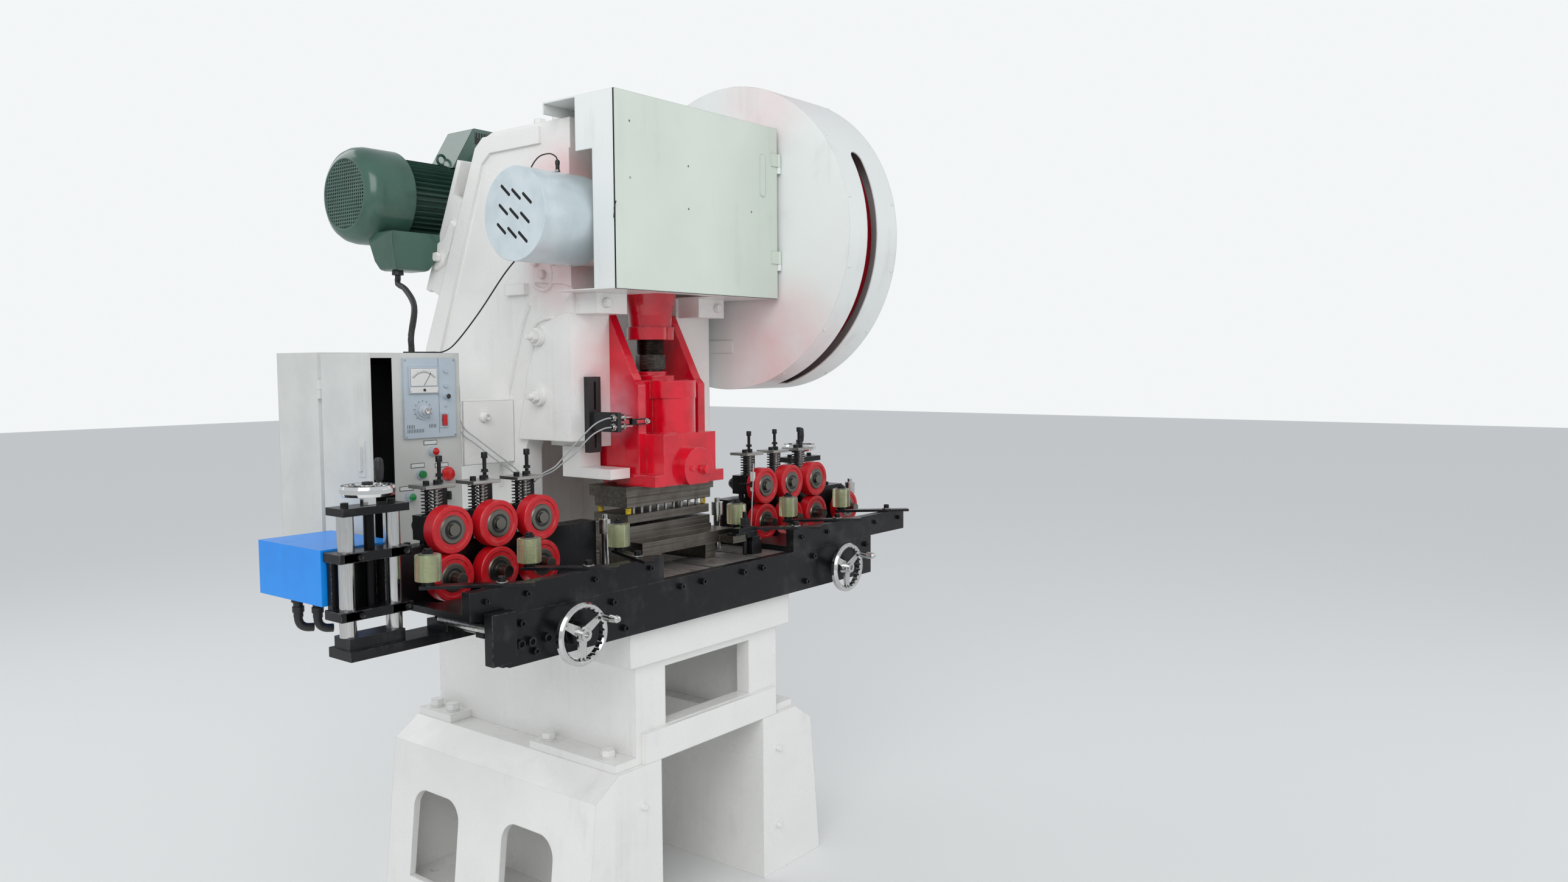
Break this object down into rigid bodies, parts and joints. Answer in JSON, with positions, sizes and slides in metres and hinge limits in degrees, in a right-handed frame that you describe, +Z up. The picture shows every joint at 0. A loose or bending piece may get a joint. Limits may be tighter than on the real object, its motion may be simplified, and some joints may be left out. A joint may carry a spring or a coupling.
{
  "type": "c-frame mechanical punch press with roller feed",
  "caption": "White C-frame mechanical punch press on a two-legged stand, with red ram, side flywheel in a slotted guard, rear motor and a black roller feed line across the table.",
  "frame": {"origin": "floor level, centre of the four anchor holes in the stand's legs", "axes": "+Z up, +X along the feed direction towards the flywheel side, -Y towards the operator"},
  "size_m": [2.15, 1.498, 2.5078],
  "materials": {
    "frame_paint": "semi-gloss",
    "guard_paint": "semi-gloss",
    "door_paint": "semi-gloss",
    "ram_paint": "gloss",
    "flywheel_paint": "semi-gloss",
    "motor_paint": "semi-gloss",
    "cover_paint": "semi-gloss",
    "black_oxide": "satin",
    "machined_steel": "satin",
    "die_steel": "satin",
    "spring_steel": "satin",
    "table_iron": "matt",
    "chromed_steel": "polished",
    "spring_yellow": "semi-gloss",
    "roller_red": "semi-gloss",
    "clear_polyurethane": "gloss",
    "cabinet_paint": "semi-gloss",
    "panel_plastic": "gloss",
    "black_plastic": "matt",
    "red_plastic": "gloss",
    "green_plastic": "gloss",
    "belt_rubber": "matt"
  },
  "bodies": {
    "press": {"press_frame": "frame_paint", "press_bed": "frame_paint", "stand": "frame_paint", "bolster_plate": "table_iron", "crank_cover": "guard_paint", "brake_guard": "guard_paint", "flywheel_guard": "guard_paint", "drive_belts": "belt_rubber", "drive_motor": "motor_paint", "motor_plate": "frame_paint", "frame_bolts": "frame_paint", "lower_die": "die_steel", "die_clamp": "black_oxide", "sensor_bar": "black_plastic", "beam_plate": "black_oxide", "feed_channels": "black_oxide", "beam_bolts": "black_oxide", "left_base": "black_oxide", "lift_posts": "chromed_steel", "lift_bridges": "black_oxide", "right_rollers": "roller_red", "press_springs": "spring_steel", "guide_arms": "machined_steel", "guide_rollers": "clear_polyurethane", "cabinet": "cabinet_paint", "control_panel": "panel_plastic", "motor_cable": "belt_rubber", "signal_cables": "belt_rubber"},
    "crank": {"crankshaft": "machined_steel"},
    "rod_big_end": {"big_end": "ram_paint"},
    "ram_set": {"ram": "ram_paint", "shank_clamp": "ram_paint", "ball_screw": "machined_steel", "connecting_rod": "ram_paint", "upper_die": "die_steel", "punches": "machined_steel", "stripper_springs": "spring_yellow"},
    "stripper": {"stripper_plate": "die_steel"},
    "flywheel": {"flywheel": "flywheel_paint"},
    "rotor": {"motor_rotor": "machined_steel"},
    "cover_door": {"crank_cover_door": "door_paint"},
    "box_door": {"cabinet_door": "cabinet_paint"},
    "wheel_left": {"front_wheel_left": "chromed_steel"},
    "wheel_right": {"front_wheel_right": "chromed_steel"},
    "lift_screw_left": {"left_lift_screw": "chromed_steel"},
    "lift_screw_right": {"right_lift_screw": "chromed_steel"},
    "carriage_left": {"left_carriage": "black_oxide", "blue_cover": "cover_paint"},
    "carriage_right": {"right_carriage": "black_oxide"},
    "upper_1": {"upper_roller_1": "roller_red"},
    "upper_2": {"upper_roller_2": "roller_red"},
    "upper_3": {"upper_roller_3": "roller_red"},
    "lower_1": {"lower_roller_1": "roller_red"},
    "lower_2": {"lower_roller_2": "roller_red"},
    "lower_3": {"lower_roller_3": "roller_red"},
    "knob": {"speed_knob": "panel_plastic"},
    "estop": {"estop_button": "red_plastic"},
    "start": {"start_button": "green_plastic"},
    "selector": {"selector_knob": "black_plastic"},
    "rocker": {"rocker_switch": "red_plastic"}
  },
  "joints": [
    {"name": "crank_turn", "type": "hinge", "parent": "press", "child": "crank", "pos_m": [0, -0.21, 2.022], "axis": [1, 0, 0], "range_deg": [0, 180]},
    {"name": "big_end_turn", "type": "hinge", "parent": "crank", "child": "rod_big_end", "pos_m": [0, -0.21, 2.034], "axis": [1, 0, 0], "range_deg": [-180, 0]},
    {"name": "ram_slide", "type": "slide", "parent": "press", "child": "ram_set", "axis": [0, 0, -1], "range_m": [0, 0.024]},
    {"name": "stripper_slide", "type": "slide", "parent": "ram_set", "child": "stripper", "axis": [0, 0, 1], "range_m": [0, 0.016], "deforming": ["stripper_springs"]},
    {"name": "flywheel_spin", "type": "hinge", "parent": "press", "child": "flywheel", "pos_m": [0.47, -0.21, 2.022], "axis": [1, 0, 0], "continuous": true},
    {"name": "motor_spin", "type": "hinge", "parent": "press", "child": "rotor", "pos_m": [0.47, 0.60201, 2.14997], "axis": [1, 0, 0], "continuous": true},
    {"name": "cover_door_swing", "type": "hinge", "parent": "press", "child": "cover_door", "pos_m": [0.352, -0.433, 2.09], "axis": [0, 0, 1], "range_deg": [0, 90]},
    {"name": "box_door_swing", "type": "hinge", "parent": "press", "child": "box_door", "pos_m": [-0.906, 0.082, 1.355], "axis": [0, 0, 1], "range_deg": [0, 90]},
    {"name": "left_wheel_spin", "type": "hinge", "parent": "press", "child": "wheel_left", "pos_m": [-0.583, -0.52, 0.95], "axis": [0, 1, 0], "continuous": true},
    {"name": "right_wheel_spin", "type": "hinge", "parent": "press", "child": "wheel_right", "pos_m": [0.572, -0.52, 0.95], "axis": [0, 1, 0], "continuous": true},
    {"name": "left_lift_turn", "type": "hinge", "parent": "press", "child": "lift_screw_left", "pos_m": [-1.018, -0.305, 1.3], "axis": [0, 0, 1], "range_deg": [-3600, 3600]},
    {"name": "left_lift_slide", "type": "slide", "parent": "press", "child": "carriage_left", "axis": [0, 0, 1], "range_m": [-0.03, 0.03]},
    {"name": "right_lift_turn", "type": "hinge", "parent": "press", "child": "lift_screw_right", "pos_m": [0.892, -0.098, 1.28], "axis": [0, 0, 1], "range_deg": [0, 3600]},
    {"name": "right_lift_slide", "type": "slide", "parent": "press", "child": "carriage_right", "axis": [0, 0, 1], "range_m": [0, 0.03]},
    {"name": "lower_1_spin", "type": "hinge", "parent": "press", "child": "lower_1", "pos_m": [-0.775, -0.266, 1.0927], "axis": [0, 1, 0], "continuous": true},
    {"name": "upper_1_spin", "type": "hinge", "parent": "press", "child": "upper_1", "pos_m": [-0.775, -0.266, 1.213], "axis": [0, 1, 0], "continuous": true},
    {"name": "lower_2_spin", "type": "hinge", "parent": "press", "child": "lower_2", "pos_m": [-0.634, -0.266, 1.0927], "axis": [0, 1, 0], "continuous": true},
    {"name": "upper_2_spin", "type": "hinge", "parent": "press", "child": "upper_2", "pos_m": [-0.634, -0.266, 1.213], "axis": [0, 1, 0], "continuous": true},
    {"name": "lower_3_spin", "type": "hinge", "parent": "press", "child": "lower_3", "pos_m": [-0.493, -0.266, 1.0927], "axis": [0, 1, 0], "continuous": true},
    {"name": "upper_3_spin", "type": "hinge", "parent": "press", "child": "upper_3", "pos_m": [-0.493, -0.266, 1.213], "axis": [0, 1, 0], "continuous": true},
    {"name": "speed_knob_turn", "type": "hinge", "parent": "press", "child": "knob", "pos_m": [-0.602, 0.08, 1.494], "axis": [0, 1, 0], "range_deg": [-150, 150]},
    {"name": "estop_press", "type": "slide", "parent": "press", "child": "estop", "axis": [0, 1, 0], "range_m": [0, 0.0035], "stiffness_N_per_m": 400},
    {"name": "start_press", "type": "slide", "parent": "press", "child": "start", "axis": [0, 1, 0], "range_m": [0, 0.0025], "stiffness_N_per_m": 400},
    {"name": "selector_turn", "type": "hinge", "parent": "press", "child": "selector", "pos_m": [-0.53, 0.08, 1.252], "axis": [0, 1, 0], "range_deg": [-45, 45]},
    {"name": "rocker_tilt", "type": "hinge", "parent": "press", "child": "rocker", "pos_m": [-0.533, 0.0797, 1.466], "axis": [1, 0, 0], "range_deg": [-6, 6]}
  ],
  "couplings": [
    {"joint": "big_end_turn", "follows": "crank_turn", "ratio": -1},
    {"joint": "ram_slide", "follows": "crank_turn", "m_per_rad": 0.00763},
    {"joint": "stripper_slide", "follows": "crank_turn", "m_per_rad": 0.00509},
    {"joint": "motor_spin", "follows": "flywheel_spin", "ratio": 5.5},
    {"joint": "left_lift_slide", "follows": "left_lift_turn", "m_per_rad": 0.000477},
    {"joint": "right_lift_slide", "follows": "right_lift_turn", "m_per_rad": 0.000477},
    {"joint": "upper_1_spin", "follows": "lower_1_spin", "ratio": -1},
    {"joint": "lower_2_spin", "follows": "lower_1_spin", "ratio": 1},
    {"joint": "upper_2_spin", "follows": "lower_1_spin", "ratio": -1},
    {"joint": "lower_3_spin", "follows": "lower_1_spin", "ratio": 1},
    {"joint": "upper_3_spin", "follows": "lower_1_spin", "ratio": -1}
  ]
}
